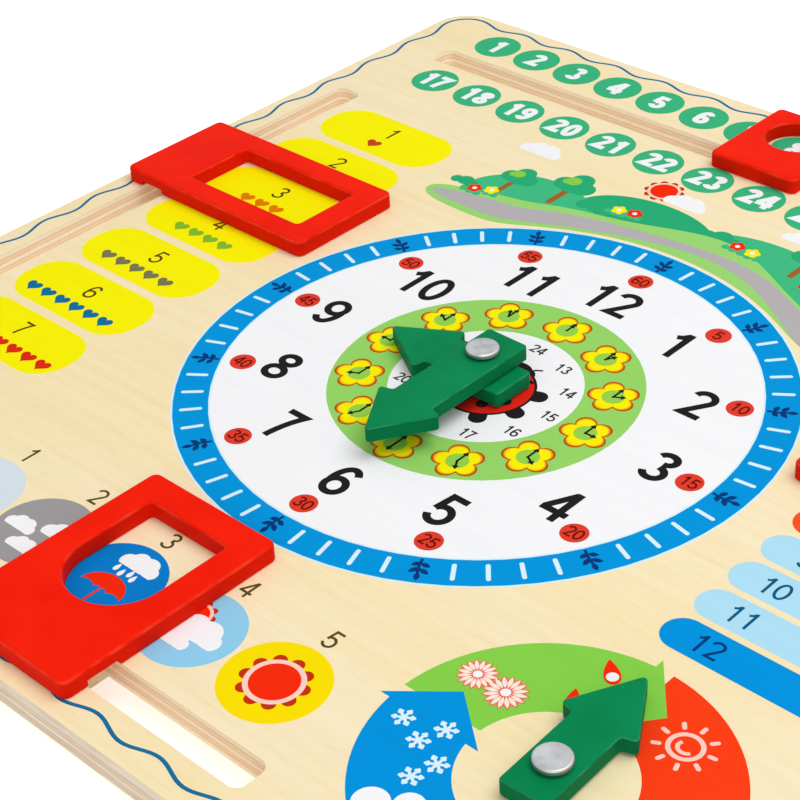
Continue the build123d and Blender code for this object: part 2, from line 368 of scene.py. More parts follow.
def print_ladybird(dial):
    """A plain ladybird in the middle of the dial, head up, mostly under the hands."""
    centre = DIAL + LADYBIRD_SHIFT
    leg = placed(oblong(*LEG_SIZE, LEG_SIZE[0] / 2), (0, LADYBIRD_RADIUS + LEG_REACH))
    for degrees in LEG_DEGREES:
        dial.add("black", 6, placed(leg, centre, LADYBIRD_TURN - degrees))
    for side in (-1, 1):
        feeler = stroke(np.array(FEELER) * [side, 1], FEELER_WIDTH)
        dial.add("black", 6, placed(feeler, centre, LADYBIRD_TURN))
    shell = disc(LADYBIRD_RADIUS)
    head = placed(lobes(*HEAD_CIRCLES), (0, HEAD_Y))
    dial.add("black", 6, placed(shell * LADYBIRD_RIM, centre), placed(head, centre, LADYBIRD_TURN))
    dial.add("ladybird", 7, placed(shell, centre))
    seam = stroke([(0, -LADYBIRD_RADIUS), (0, SEAM_TOP)], SEAM_WIDTH)
    collar = arc(COLLAR_PLACE, COLLAR_RADII, *COLLAR_DEGREES)
    spots = [placed(disc(SPOT_RADIUS), (side * x, y)) for side in (-1, 1) for x, y in SPOTS]
    for shape in (seam, collar, *spots):
        dial.add("black", 8, placed(shape, centre, LADYBIRD_TURN))


# Dates in two rows
DATE_RADIUS, DATE_HEIGHT, DATE_PEN = 7.3, 8.0, 0.235
# Each row's first and last date, the first one's X, the pitch and the row's Y
DATE_ROWS = ((1, 16, -121.6, 15.94, 134.5), (17, 31, -120.85, 17.05, 104.5))


def print_dates():
    """Green discs with white numbers, above and below the date slot."""
    dates = Print("date_print")
    for first, last, start, pitch, y in DATE_ROWS:
        for date in range(first, last + 1):
            centre = (start + pitch * (date - first), y)
            dates.add("date", 0, placed(disc(DATE_RADIUS), centre))
            dates.number("white", 1, date, DATE_HEIGHT, DATE_PEN, centre)
    return dates


# Days down the left side
DAY_X, DAY_Y, DAY_PITCH = -106.5, 67.4, 22.6
DAY_SIZE, DAY_CORNER = (44.4, 19.8), 9.0
DAY_NUMBER_HEIGHT, DAY_NUMBER_PEN, DAY_NUMBER_RISE = 6.0, 0.12, 3.0
HEART_WIDTH, HEART_PITCH, HEART_DROP = 4.8, 5.7, 4.5
HEART_ROW_X = (-107, -107, -106.7, -106, -107, -107.2, -106.6)


def print_days():
    """Yellow pills, each with its number and as many hearts."""
    days = Print("day_print")
    for day in range(1, 8):
        centre = np.array([DAY_X, DAY_Y - DAY_PITCH * (day - 1)])
        days.add("pill", 0, placed(oblong(*DAY_SIZE, DAY_CORNER), centre))
        spot = centre + [0, DAY_NUMBER_RISE]
        days.number("brown_text", 1, day, DAY_NUMBER_HEIGHT, DAY_NUMBER_PEN, spot)
        for place in range(day):
            across = HEART_ROW_X[day - 1] + HEART_PITCH * (place - (day - 1) / 2)
            spot = (across, centre[1] - HEART_DROP)
            days.add(f"heart_{day}", 1, placed(heart(HEART_WIDTH), spot))
    return days


# Months down the right side
MONTH_X, MONTH_Y, MONTH_PITCH = 106.4, 77.05, 11.65
MONTH_SIZE = (43.4, 9.9)
MONTH_NUMBER_X, MONTH_HEIGHT, MONTH_PEN = -11.0, 5.6, 0.12
MONTH_COLOURS = ("winter",) * 2 + ("spring",) * 3 + ("red_orange",) * 3 + ("sky",) * 3 + ("winter",)


def print_months():
    """A pill for each month, coloured by season."""
    months = Print("month_print")
    for month, colour in enumerate(MONTH_COLOURS, start=1):
        centre = (MONTH_X, MONTH_Y - MONTH_PITCH * (month - 1))
        months.add(colour, 0, placed(oblong(*MONTH_SIZE, MONTH_SIZE[1] / 2), centre))
        text = "teal_text" if colour == "sky" else "navy"
        spot = (centre[0] + MONTH_NUMBER_X, centre[1])
        months.number(text, 1, month, MONTH_HEIGHT, MONTH_PEN, spot)
    return months


# Weather along the bottom, with the pictures placed from each disc's centre
WEATHER_X, WEATHER_Y, WEATHER_PITCH, WEATHER_RADIUS = -61.5, -114.2, 24.65, 11.8
WEATHER_COLOURS = ("fog", "cloud_grey", "rain", "fair", "sunny")
WEATHER_NUMBER_HEIGHT, WEATHER_NUMBER_PEN, WEATHER_NUMBER_RISE = 5.4, 0.12, 16.2
CLOUD = ((-3.4, -0.6, 2.3), (-1.2, 0.9, 2.6), (1.9, 0.6, 3.0), (4.2, -0.7, 2.1), (0, -0.9, 2.2))
CLOUD_FOOT = -2.4
# Each cloud's place and size
FOG_CLOUDS = ((-2.5, 3.2, 1.0), (4, -0.5, 0.8), (-2.6, -4.6, 0.9))
DULL_CLOUDS = ((-5.7, -1.2, 0.74), (4.2, 2, 0.9), (0.2, -5.8, 0.72))
RAIN_CLOUDS = ((1.0, 6.5, 0.92),)
FAIR_CLOUDS = ((1.2, 0.2, 1.2), (-1.6, -4.2, 0.85))
DROPS, DROP_HEIGHT = ((-2.3, 3.0), (-0.2, 2.3), (1.8, 3.2), (3.4, 2.4)), 2.5
SUN_SCALLOPS, SUN_SCALLOP, SUN_RIM, SUN_RING, SUN_DISC = 10, 1.55, 6.35, 6.45, 5.3
FAIR_SUN, FAIR_SUN_SIZE, SUNNY_SUN_SIZE = (-2.8, 3.2), 0.64, 1.0
UMBRELLA, CANOPY_REACH, CANOPY_RISE, CANOPY_FOOT = (0.4, -0.2), 6.2, 5.2, -4.2
SCALLOPS, SCALLOP_REACH, SCALLOP_RISE, SCALLOP_FOOT = (-4.14, 0, 4.14), 2.07, 0.9, -4.3
STICK_TOP, STICK_WIDTH, HOOK, HOOK_RADIUS = (0, -2.5), 0.6, (-1.0, -9.2), 1.0


def cloud(size, centre):
    """Joined circles, cut off straight at the foot, where only the two ends of the cut are kept."""
    outline = lobes(*CLOUD)
    below = outline[:, 1] < CLOUD_FOOT
    outline[below, 1] = CLOUD_FOOT
    inner = below & np.roll(below, 1) & np.roll(below, -1)
    return placed(outline[~inner] * size, centre)


def clouds(centre, rows):
    """Clouds in their sizes, at their places from a centre."""
    return [cloud(size, np.array(centre) + [x, y]) for x, y, size in rows]


def print_sun(page, layer, size, centre):
    """A sun on three layers: a scalloped rim, a pale ring and a disc."""
    rim = rosette(SUN_SCALLOPS, SUN_RIM * size, SUN_SCALLOP * size)
    page.add("sun_rim", layer, placed(rim, centre))
    page.add("sun_ring", layer + 1, placed(disc(SUN_RING * size), centre))
    page.add("sun", layer + 2, placed(disc(SUN_DISC * size), centre))


def umbrella():
    """A round canopy with three scallops along its foot, and a stick that ends in a hook."""
    dome = arc((0, CANOPY_FOOT), (CANOPY_REACH, CANOPY_RISE), 0, 180, 30)
    scallop = (SCALLOP_REACH, SCALLOP_RISE)
    scallops = [arc((x, SCALLOP_FOOT), scallop, 180, 0, 8)[1:] for x in SCALLOPS]
    hook = arc(HOOK, (HOOK_RADIUS, HOOK_RADIUS), 0, -170, 9)
    return np.vstack([dome, *scallops]), stroke(np.vstack([[STICK_TOP], hook]), STICK_WIDTH)


def print_weather():
    """Discs for fog, cloud, rain, fair and sunny weather, each with its number above."""
    weather = Print("weather_print")
    centres = []
    for place, colour in enumerate(WEATHER_COLOURS):
        centre = np.array([WEATHER_X + WEATHER_PITCH * place, WEATHER_Y])
        centres.append(centre)
        weather.add(colour, 0, placed(disc(WEATHER_RADIUS), centre))
        spot = centre + [0, WEATHER_NUMBER_RISE]
        weather.number("brown_text", 0, place + 1, WEATHER_NUMBER_HEIGHT, WEATHER_NUMBER_PEN, spot)
    fog, dull, rain, fair, sunny = centres
    for centre, rows in ((fog, FOG_CLOUDS), (dull, DULL_CLOUDS), (rain, RAIN_CLOUDS)):
        weather.add("white", 1, *clouds(centre, rows))
    weather.add("white", 2, *[placed(drop(DROP_HEIGHT), rain + place) for place in DROPS])
    weather.add("sun", 1, *[placed(shape, rain + UMBRELLA) for shape in umbrella()])
    print_sun(weather, 1, FAIR_SUN_SIZE, fair + FAIR_SUN)
    weather.add("white", 4, *clouds(fair, FAIR_CLOUDS))
    print_sun(weather, 1, SUNNY_SUN_SIZE, sunny)
    return weather


# Season ring, printed a little off the rivet's centre, with the pictures placed from the ring's
SEASON_RING = SEASON + [-1.5, -0.2]
SEASON_OUTER, SEASON_INNER, SEASON_MIDDLE = 37.2, 17.5, 27.0
SEASON_TAIL, SEASON_NECK, SEASON_TIP = 1.3, 3.1, 7.3
SEASON_BARB_OUT, SEASON_BARB_IN = 39.5, 14.0
# Flakes, mounds and daisies have a place and a size, and buds and leaves a place and a turn
FLAKES = ((-31, -5.5, 2.35), (-22.4, -2.7, 2.4), (-24.6, -8.2, 2.4), (-17.6, -10.6, 2.4),
          (-19.2, -16.0, 2.4))
# Shares of a snowflake's size
FLAKE_ARM_WIDTH, FLAKE_MIDDLE, FLAKE_KNOB_PLACE = 0.26, 0.3, 0.74
FLAKE_KNOB = ((0, 0.16, 0.16), (-0.13, 0, 0.15), (0.13, 0, 0.15))
SNOW_MOUNDS, SNOW_SHADE_SHIFT = ((-20.4, -25.6, 3.8), (-14.4, -21.6, 3.2)), (0.4, -0.5)
DAISIES, DAISY_PETALS = ((-28.2, 12.8, 4.5), (-20.6, 12.4, 4.9)), 16
# Shares of a daisy's radius: a petal's and its fold's start, length and width, and the middle
DAISY_PETAL, DAISY_FOLD, DAISY_MIDDLE = (0.14, 0.86, 0.36), (0.26, 0.66, 0.2), 0.22
BUDS, BUD_HEIGHT = ((-8.7, 30.3, 45), (-9.2, 19.0, 30)), 7.4
BUD_GLINT, BUD_GLINT_PLACE = 1.3, 1.5
SUMMER_SUN, SUMMER_RAYS, SUMMER_TURN = (14.6, 23.1), 9, -1
RAY_SIZE, RAY_CORNER, RAY_PLACE = (0.95, 2.1), 0.47, 5.6
SUMMER_RING, SUMMER_RING_PEN = (3.4, 3.3), 1.0
SUMMER_CURL, SUMMER_CURL_PLACE, SUMMER_CURL_PEN = (1.7, 1.6), (0.2, -0.1), 0.85
LEAF_SIZE = (6.5, 3.2)
LEAVES = ((26, -12, 30, "rust"), (22, -19, -40, "summer"), (14, -25, 75, "rust"),
          (30, -5, -15, "summer"))


def season_edge(radius):
    """Run along a quarter of the ring, clockwise from its tail at the left to its neck at the top."""
    tail, neck = (math.degrees(math.asin(gap / radius)) for gap in (SEASON_TAIL, SEASON_NECK))
    return arc((0, 0), (radius, radius), 180 - tail, 90 + neck)


def season_arrow():
    """One quarter of the ring, and the arrow head at its end."""
    body = np.vstack([season_edge(SEASON_OUTER), season_edge(SEASON_INNER)[::-1]])
    head = [(-SEASON_NECK, SEASON_BARB_OUT), (SEASON_TIP, SEASON_MIDDLE),
            (-SEASON_NECK, SEASON_BARB_IN)]
    return body, head


def snowflake(size):
    """Six stout arms, each with a round knob at its end, and a round middle."""
    arm = placed(oblong(FLAKE_ARM_WIDTH, 1, FLAKE_ARM_WIDTH / 2), (0, 0.5))
    knob = placed(lobes(*FLAKE_KNOB), (0, FLAKE_KNOB_PLACE))
    around = [placed(shape, turn=60 * k) for k in range(6) for shape in (arm, knob)]
    return [shape * size for shape in (disc(FLAKE_MIDDLE), *around)]


def print_daisy(ring, centre, radius):
    """Pointed petals, each with a pale fold along it, round a white middle."""
    petal, fold = (placed(leaf(length, width), (0, start)) * radius
                   for start, length, width in (DAISY_PETAL, DAISY_FOLD))
    for turn in np.arange(DAISY_PETALS) * 360 / DAISY_PETALS:
        ring.add("salmon", 2, placed(petal, centre, turn))
        ring.add("cream", 3, placed(fold, centre, turn))
    ring.add("white", 4, placed(disc(DAISY_MIDDLE * radius), centre))


def print_summer_sun(ring, centre):
    """A sun drawn in chalk: short rays, a ring and a curl inside it."""
    ray = placed(oblong(*RAY_SIZE, RAY_CORNER), (0, RAY_PLACE))
    turns = np.arange(SUMMER_RAYS) * 360 / SUMMER_RAYS + SUMMER_TURN
    circle = stroke(arc((0, 0), SUMMER_RING, -60, 300, 40), SUMMER_RING_PEN)
    curl = stroke(arc(SUMMER_CURL_PLACE, SUMMER_CURL, 150, 330, 20), SUMMER_CURL_PEN)
    ring.add("chalk", 2, *[placed(ray, centre, turn) for turn in turns])
    ring.add("chalk", 2, placed(circle, centre))
    ring.add("chalk", 3, placed(curl, centre))


def print_seasons():
    """A ring of four arrows that run clockwise, one for each season, with small pictures on them."""
    ring = Print("season_print")
    body, head = season_arrow()
    for quarter, colour in enumerate(("spring", "summer", "autumn", "winter")):
        ring.add(colour, 0, placed(body, SEASON_RING, -90 * quarter))
        ring.add(colour, 1, placed(head, SEASON_RING, -90 * quarter))
    for x, y, size in FLAKES:
        ring.add("ice", 2, *[placed(shape, SEASON_RING + [x, y]) for shape in snowflake(size)])
    for x, y, size in SNOW_MOUNDS:
        ring.add("snow_shade", 2, placed(disc(size), SEASON_RING + [x, y] + SNOW_SHADE_SHIFT))
        ring.add("white", 3, placed(disc(size), SEASON_RING + [x, y]))
    for x, y, radius in DAISIES:
        print_daisy(ring, SEASON_RING + [x, y], radius)
    for x, y, turn in BUDS:
        centre = SEASON_RING + [x, y]
        glint = clock_place(centre, BUD_GLINT_PLACE, 180 - turn)
        ring.add("sun", 2, placed(drop(BUD_HEIGHT), centre, turn))
        ring.add("white", 3, placed(disc(BUD_GLINT), glint))
    print_summer_sun(ring, SEASON_RING + SUMMER_SUN)
    for x, y, turn, colour in LEAVES:
        ring.add(colour, 2, placed(leaf(*LEAF_SIZE), SEASON_RING + [x, y], turn))
    return ring


# Wavy line along the board's edge
BORDER_MIDDLE, BORDER_HALF = (-1.0, 0.6), 144.6
BORDER_WAVE, BORDER_SWING, BORDER_WIDTH = 18.3, 1.1, 0.9
BORDER_REACH, BORDER_POINTS = 7.5 * BORDER_WAVE, 241


def print_border():
    """A cosine wave along each edge, inwards at mid-edge, and a quarter circle round each corner."""
    border = Print("border_print")
    along = np.linspace(-BORDER_REACH, BORDER_REACH, BORDER_POINTS)
    wave = BORDER_SWING * np.cos(2 * np.pi * along / BORDER_WAVE)
    side = np.stack([along, BORDER_HALF - wave], axis=1)
    radius = BORDER_HALF + BORDER_SWING - BORDER_REACH
    corner = arc((BORDER_REACH, BORDER_REACH), (radius, radius), 90, 0, 16)
    line = stroke(np.vstack([side, corner[1:]]), BORDER_WIDTH)
    border.add("border", 0, *[placed(line, BORDER_MIDDLE, turn) for turn in (0, 90, 180, 270)])
    return border


# Country scene over the dial
MEADOW_HALF, MEADOW_FOOT, MEADOW_GAP, MEADOW_BEND = 77.0, 49.0, 1.0, 2.5
MEADOW_DEPTH, MEADOW_SWELL, MEADOW_WAVE, MEADOW_PHASE = 12, 2.2, 9, 0.8
PATH_SHARE, PATH_RISE, PATH_SWAY, PATH_WAVE = 0.97, 5.2, 1.2, 11
PATH_HALF, PATH_SWELL, PATH_SWELL_WAVE = 2.8, 1.1, 15
NOSE_POWER = 16
# Each hill's centre, half width, height and colour
HILLS = ((-49, 61, 21, 17, "hill"), (-17, 73, 22, 13, "bush"), (19, 73, 24, 14, "hill"),
         (52, 62, 20, 15, "bush"))
HILL_FOOT_RISE = 1
TREES = ((-60, 67, 0.95), (-45, 72, 1.1), (28, 80, 1.0), (54, 70, 0.95))
TRUNK_SIZE, TRUNK_CORNER = (1.8, 9), 0.5
CROWN, CROWN_RISE = ((0, 0, 4.2), (-3, -0.6, 3), (3, -0.6, 3), (0, 2.6, 3.2)), 7
GLINT, GLINT_PLACE = ((0, 0, 2), (-1.4, -0.8, 1.3)), (-1.6, 8.2)
BUSHES = ((-71, 63, 0.9), (-33, 74, 1.2), (-6, 80.5, 1.0), (3, 81, 1.3), (40, 73.5, 1.2),
          (69, 59, 1.0))
BUSH = ((0, 0, 2.6), (-3, -0.8, 2.0), (3, -0.8, 2.1))
BLOOMS = ((-66, 61, "sun"), (-61.5, 63, "petal"), (-27, 76, "petal"), (-22.5, 77, "sun"),
          (9, 80, "sun"), (14, 79.5, "petal"), (34, 74.5, "sun"), (60, 60, "petal"),
          (64, 58.5, "sun"))
BLOOM_LEAVES, BLOOM_LEAVES_DROP = ((-2.4, 0, 1.1), (0, 0, 1.3), (2.4, 0, 1.1)), 2
BLOOM_PLACE, BLOOM_PETAL, BLOOM_MIDDLE = 1.25, 0.95, 0.7
COUNTRY_SUN, COUNTRY_SUN_SIZE = (-24, 92), 0.72
COUNTRY_CLOUDS = ((-15.5, 90, 1.1), (-66, 89.5, 1.15), (20, 93, 0.95), (58, 90.5, 1.2))


def meadow_foot(x):
    """Lower edge: just outside the blue ring, level towards the ends, and a soft bend between."""
    ring = RING_OUTER + RING_EDGE + MEADOW_GAP
    rise = DIAL[1] + np.sqrt(np.maximum(ring ** 2 - x ** 2, 0)) - MEADOW_FOOT
    return MEADOW_FOOT + MEADOW_BEND * np.logaddexp(0, rise / MEADOW_BEND)


def land(x, upper, lower):
    """A strip of ground between two lines, its ends drawn in to round noses."""
    middle, half = (x[0] + x[-1]) / 2, (x[-1] - x[0]) / 2
    taper = np.sqrt(1 - np.abs((x - middle) / half) ** NOSE_POWER)
    centre = (upper + lower) / 2
    top = np.stack([x, centre + (upper - centre) * taper], axis=1)
    foot = np.stack([x, centre + (lower - centre) * taper], axis=1)
    return np.vstack([foot, top[-2:0:-1]])


def hump(x, y, half, height):
    """A round hill: the upper half of an ellipse, filled down almost to the meadow's lower edge."""
    top = arc((x, y), (half, height), 180, 0, 40)
    foot = np.minimum(meadow_foot(top[:, 0]) + HILL_FOOT_RISE, top[:, 1])
    return np.vstack([np.stack([top[:, 0], foot], axis=1), top[-2:0:-1]])


def print_meadow(country):
    """A strip of meadow with a wavy upper edge, and a path along it."""
    x = MEADOW_HALF * np.sin(np.linspace(-np.pi / 2, np.pi / 2, 160))
    foot = meadow_foot(x)
    depth = MEADOW_DEPTH + MEADOW_SWELL * np.sin(x / MEADOW_WAVE + MEADOW_PHASE)
    country.add("meadow", 4, land(x, foot + depth, foot))
    track = PATH_SHARE * x
    line = meadow_foot(track) + PATH_RISE + PATH_SWAY * np.sin(track / PATH_WAVE)
    half = PATH_HALF - PATH_SWELL * np.cos(track / PATH_SWELL_WAVE)
    country.add("path", 5, land(track, line + half, line - half))


def print_country():
    """Round hills, a meadow with a path, trees, bushes, flowers, clouds and a sun."""
    country = Print("country_print")
    for x, y, half, height, colour in HILLS:
        country.add(colour, 0 if colour == "bush" else 1, hump(x, y, half, height))
    for x, y, size in BUSHES:
        country.add("bush", 2, placed(lobes(*BUSH) * size, (x, y)))
    for x, y, size in TREES:
        place = np.array([x, y])
        trunk = oblong(*(size * np.array(TRUNK_SIZE)), TRUNK_CORNER)
        country.add("trunk", 2, placed(trunk, place))
        country.add("bush", 3, placed(lobes(*CROWN) * size, place + [0, CROWN_RISE * size]))
        country.add("spring", 4, placed(lobes(*GLINT) * size, place + size * np.array(GLINT_PLACE)))
    print_meadow(country)
    for x, y, colour in BLOOMS:
        country.add("hill", 6, placed(lobes(*BLOOM_LEAVES), (x, y - BLOOM_LEAVES_DROP)))
        country.add(colour, 7, placed(rosette(PETALS, BLOOM_PLACE, BLOOM_PETAL), (x, y)))
        country.add("white", 8, placed(disc(BLOOM_MIDDLE), (x, y)))
    print_sun(country, 2, COUNTRY_SUN_SIZE, COUNTRY_SUN)
    country.add("white", 5, *clouds((0, 0), COUNTRY_CLOUDS))
    return country


# Materials. The sizes of their patterns are along X, Y and Z.
# Settings, inputs and output of a Mix node that mixes colours
COLOURS, TINT = {"data_type": "RGBA"}, {"data_type": "RGBA", "blend_type": "MULTIPLY"}
SHARE, FIRST, SECOND, MIXED = 0, 6, 7, 2


def add_node(tree, kind, settings=None, inputs=None):
    """One shader node with its settings and its inputs, each of which is a number, a hex colour or
    another node's output. Gives back its outputs."""
    made = tree.nodes.new("ShaderNode" + kind)
    for name, value in (settings or {}).items():
        setattr(made, name, value)
    for name, value in (inputs or {}).items():
        if isinstance(value, bpy.types.NodeSocket):
            tree.links.new(value, made.inputs[name])
        else:
            made.inputs[name].default_value = linear(value) if isinstance(value, str) else value
    return made.outputs


def start_material(name):
    """A material and its empty node tree."""
    material = bpy.data.materials.new(name)
    material.use_nodes = True
    material.node_tree.nodes.clear()
    return material, material.node_tree


def finish_material(material, inputs):
    """The material, with a Principled shader that has these inputs."""
    shader = add_node(material.node_tree, "BsdfPrincipled", inputs=inputs)
    add_node(material.node_tree, "OutputMaterial", inputs={"Surface": shader["BSDF"]})
    return material


def stretched_noise(tree, sizes, detail):
    """Noise in object coordinates, with blotches about as long as these sizes in millimetres."""
    place = add_node(tree, "TexCoord")["Object"]
    scale = tuple(1 / (size * MM) for size in sizes)
    spread = add_node(tree, "Mapping", inputs={"Vector": place, "Scale": scale})["Vector"]
    return add_node(tree, "TexNoise", inputs={"Vector": spread, "Scale": 1.0, "Detail": detail})["Fac"]


def two_tone(tree, pattern, low, high, start, stop):
    """Colour that runs from one to another while a pattern's value runs from start to stop."""
    share = add_node(tree, "MapRange", inputs={"Value": pattern, "From Min": start, "From Max": stop})
    tones = {SHARE: share["Result"], FIRST: low, SECOND: high}
    return add_node(tree, "Mix", COLOURS, tones)[MIXED]


# Birch plywood
BIRCH_STREAK, BIRCH_BLOTCH, BIRCH_FLECK = (90, 2.4, 90), (110, 30, 110), (7, 0.55, 7)
CUT_GRAIN = (9, 9, 0.3)
PLY_THICKNESS, GLUE_LINE, GLUE_STRENGTH, FACE_SKIN = 1.3, 0.14, 0.8, 0.1
# Painted shade: cut plies turn greyer between these distances from the board's outer sides
OUTER_SHADE_START, OUTER_SHADE_END = 6, 1


def cut_plies(tree, spot, height):
    """Cut plies, lighter and darker in turn with the height from mid-board, parted by thin glue lines,
    and greyer on the board's outer sides, which is painted shade."""
    half_ply = PLY_THICKNESS / 2 * MM
    ply = add_node(tree, "Math", {"operation": "PINGPONG"}, {0: height, 1: PLY_THICKNESS * MM})[0]
    across = add_node(tree, "Math", {"operation": "GREATER_THAN"}, {0: ply, 1: half_ply})[0]
    seam = add_node(tree, "Math", {"operation": "SUBTRACT"}, {0: ply, 1: half_ply})[0]
    seam = add_node(tree, "Math", {"operation": "ABSOLUTE"}, {0: seam})[0]
    fade = {"Value": seam, "From Max": GLUE_LINE * MM, "To Min": GLUE_STRENGTH, "To Max": 0.0}
    glue = add_node(tree, "MapRange", inputs=fade)["Result"]
    grain = stretched_noise(tree, CUT_GRAIN, 4.0)
    along_grain = two_tone(tree, grain, "#FFEBCB", "#FFF3DE", 0.35, 0.65)
    end_grain = two_tone(tree, grain, "#F4D3A8", "#FBE2C0", 0.35, 0.65)
    brown = two_tone(tree, grain, "#C6986C", "#DCB48A", 0.35, 0.65)
    shade_grey = two_tone(tree, grain, "#DDDDE3", "#EAEAF0", 0.35, 0.65)
    plies = {SHARE: across, FIRST: along_grain, SECOND: end_grain}
    wood = add_node(tree, "Mix", COLOURS, plies)[MIXED]
    wood = add_node(tree, "Mix", COLOURS, {SHARE: glue, FIRST: wood, SECOND: brown})[MIXED]
    # Painted shade: towards the board's outer sides the cut plies are mixed with grey
    x, y = (add_node(tree, "Math", {"operation": "ABSOLUTE"}, {0: spot[axis]})[0] for axis in "XY")
    reach = add_node(tree, "Math", {"operation": "MAXIMUM"}, {0: x, 1: y})[0]
    start, end = ((BOARD_HALF - inset) * MM for inset in (OUTER_SHADE_START, OUTER_SHADE_END))
    fade = {"Value": reach, "From Min": start, "From Max": end}
    outer = add_node(tree, "MapRange", inputs=fade)["Result"]
    return add_node(tree, "Mix", TINT, {SHARE: outer, FIRST: wood, SECOND: shade_grey})[MIXED]


def birch_plywood():
    """Rotary-cut birch ply under a matt varnish: a pale, smooth face with faint streaks along X, and
    cut plies below the faces."""
    material, tree = start_material("birch_plywood")
    streak = stretched_noise(tree, BIRCH_STREAK, 5.0)
    blotch = stretched_noise(tree, BIRCH_BLOTCH, 2.0)
    fleck = stretched_noise(tree, BIRCH_FLECK, 1.0)
    streaks = two_tone(tree, streak, "#F5DFAE", "#FBEBC4", 0.35, 0.62)
    blotches = two_tone(tree, blotch, "#F9E4AC", "#FAEBC8", 0.35, 0.65)
    flecks = two_tone(tree, fleck, "#D2A66C", "#FAE8C2", 0.28, 0.42)
    face = add_node(tree, "Mix", COLOURS, {SHARE: 0.5, FIRST: streaks, SECOND: blotches})[MIXED]
    face = add_node(tree, "Mix", COLOURS, {SHARE: 0.08, FIRST: face, SECOND: flecks})[MIXED]
    place = add_node(tree, "TexCoord")["Object"]
    spot = add_node(tree, "SeparateXYZ", inputs={"Vector": place})
    middle = BOARD_MIDDLE_Z * MM
    height = add_node(tree, "Math", {"operation": "SUBTRACT"}, {0: spot["Z"], 1: middle})[0]
    away = add_node(tree, "Math", {"operation": "ABSOLUTE"}, {0: height})[0]
    skin = BOARD_HALF_THICKNESS * MM
    fade = {"Value": away, "From Min": skin, "From Max": skin - FACE_SKIN * MM}
    inside = add_node(tree, "MapRange", inputs=fade)["Result"]
    edge = cut_plies(tree, spot, height)
    wood = add_node(tree, "Mix", COLOURS, {SHARE: inside, FIRST: face, SECOND: edge})[MIXED]
    rough = add_node(tree, "MapRange", inputs={"Value": streak, "To Min": 0.48, "To Max": 0.62})
    bump = add_node(tree, "Bump", inputs={"Height": streak, "Strength": 0.1, "Distance": 0.08 * MM})
    return finish_material(material, {
        "Base Color": wood, "Roughness": rough["Result"], "Normal": bump["Normal"],
        "Specular IOR Level": 0.15,
    })


PAINT_CLOUD, PAINT_RUB, PAINT_PEEL, PAINTED_GRAIN = (14,) * 3, (5,) * 3, (0.9,) * 3, (16, 0.7, 0.7)
EDGE_WEAR = 0.3


def painted_wood(name, deep, bright, thin, side_shade):
    """Sprayed opaque paint on sanded wood: even colour, satin, with the grain just felt under it.
    Upright sides get a deeper colour, which is painted shade, and the rounded edges, where the surface
    leans, are rubbed thinner and paler here and there."""
    material, tree = start_material(name)
    cloudy = stretched_noise(tree, PAINT_CLOUD, 2.0)
    rubbed = stretched_noise(tree, PAINT_RUB, 3.0)
    grain = stretched_noise(tree, PAINTED_GRAIN, 3.0)
    peel = stretched_noise(tree, PAINT_PEEL, 1.0)
    facing = add_node(tree, "NewGeometry")["Normal"]
    upright = add_node(tree, "SeparateXYZ", inputs={"Vector": facing})["Z"]
    slant = add_node(tree, "Math", {"operation": "PINGPONG"}, {0: upright, 1: 0.5})[0]
    flat = add_node(tree, "Math", {"operation": "ABSOLUTE"}, {0: upright})[0]
    fade = {"Value": slant, "From Min": 0.12, "From Max": 0.3}
    edge = add_node(tree, "MapRange", inputs=fade)["Result"]
    fade = {"Value": rubbed, "From Min": 0.35, "From Max": 0.65, "To Max": EDGE_WEAR}
    patchy = add_node(tree, "MapRange", inputs=fade)["Result"]
    worn = add_node(tree, "Math", {"operation": "MULTIPLY"}, {0: edge, 1: patchy})[0]
    face = two_tone(tree, cloudy, deep, bright, 0.3, 0.7)
    # Painted shade: upright sides take the deeper side colour, while the top and bottom faces keep the
    # face colour
    paint = add_node(tree, "Mix", COLOURS, {SHARE: flat, FIRST: side_shade, SECOND: face})[MIXED]
    paint = add_node(tree, "Mix", COLOURS, {SHARE: worn, FIRST: paint, SECOND: thin})[MIXED]
    rough = add_node(tree, "MapRange", inputs={"Value": cloudy, "To Min": 0.34, "To Max": 0.48})
    ridges = {"Height": grain, "Strength": 0.10, "Distance": 0.12 * MM}
    felt = add_node(tree, "Bump", inputs=ridges)["Normal"]
    ripples = {"Height": peel, "Strength": 0.06, "Distance": 0.08 * MM, "Normal": felt}
    felt = add_node(tree, "Bump", inputs=ripples)["Normal"]
    return finish_material(material, {
        "Base Color": paint, "Roughness": rough["Result"], "Normal": felt,
        "Specular IOR Level": 0.02,
    })


BEECH_STREAK, BEECH_FLECK = (30, 1.6, 1.6), (2.6, 0.35, 0.35)


def plain_beech():
    """Sanded beech: warm, with short dark flecks along X."""
    material, tree = start_material("plain_beech")
    streak = stretched_noise(tree, BEECH_STREAK, 4.0)
    fleck = stretched_noise(tree, BEECH_FLECK, 1.0)
    body = two_tone(tree, streak, "#EACDA0", "#F6E4C4", 0.35, 0.65)
    marks = two_tone(tree, fleck, "#C69A6A", "#F6E4C4", 0.3, 0.42)
    wood = add_node(tree, "Mix", COLOURS, {SHARE: 0.35, FIRST: body, SECOND: marks})[MIXED]
    bump = add_node(tree, "Bump", inputs={"Height": streak, "Strength": 0.2, "Distance": 0.15 * MM})
    return finish_material(material, {
        "Base Color": wood, "Roughness": 0.62, "Normal": bump["Normal"],
    })


METAL_PATCH, METAL_SCRATCH = (2.2,) * 3, (2.5, 0.16, 0.6)


